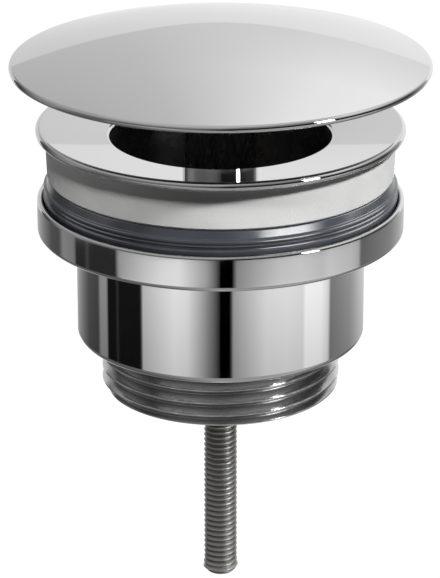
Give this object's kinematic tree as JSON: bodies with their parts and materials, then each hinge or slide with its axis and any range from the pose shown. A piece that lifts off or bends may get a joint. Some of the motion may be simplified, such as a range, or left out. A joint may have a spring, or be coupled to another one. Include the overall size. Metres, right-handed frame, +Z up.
{
  "type": "free-flow basin waste",
  "caption": "Round chromed basin waste with a fixed mushroom cover on a stem, a dished flange, two clamp seals and a threaded cup drawn up by a centre rod.",
  "frame": {"origin": "on the rod's axis, in the seating plane where the upper and lower seals meet and clamp the basin", "axes": "+Z up along the rod's axis, out of the basin towards the cover; the part is round, so +X is free and is set along one arm of each cross"},
  "size_m": [0.0728, 0.0728, 0.1018],
  "materials": {
    "chrome": "polished chrome plating on brass",
    "brass": "turned brass, unplated",
    "rod_steel": "zinc-plated steel",
    "white_seal": "soft white foam rubber, matt",
    "grey_seal": "dark translucent rubber, semi-gloss",
    "nylon": "natural nylon"
  },
  "bodies": {
    "cup": {"cup_body": "chrome", "cup_cross": "brass", "thread_bush": "brass", "lower_seal": "grey_seal"},
    "flange_set": {"flange": "chrome", "flange_cross": "chrome", "upper_seal": "white_seal"},
    "cover_set": {"cover_dome": "chrome", "cover_boss": "brass", "stem": "chrome", "stem_washer": "nylon", "centre_rod": "rod_steel", "rod_nut": "rod_steel"}
  },
  "joints": [
    {"name": "clamp_slide", "type": "slide", "parent": "cup", "child": "flange_set", "axis": [0, 0, 1], "range_m": [0, 0.04]},
    {"name": "cover_turn", "type": "hinge", "parent": "flange_set", "child": "cover_set", "pos_m": [0, 0, 0], "axis": [0, 0, 1], "range_deg": [0, 14400]}
  ],
  "couplings": [
    {"joint": "clamp_slide", "follows": "cover_turn", "m_per_rad": 0.00015915}
  ]
}
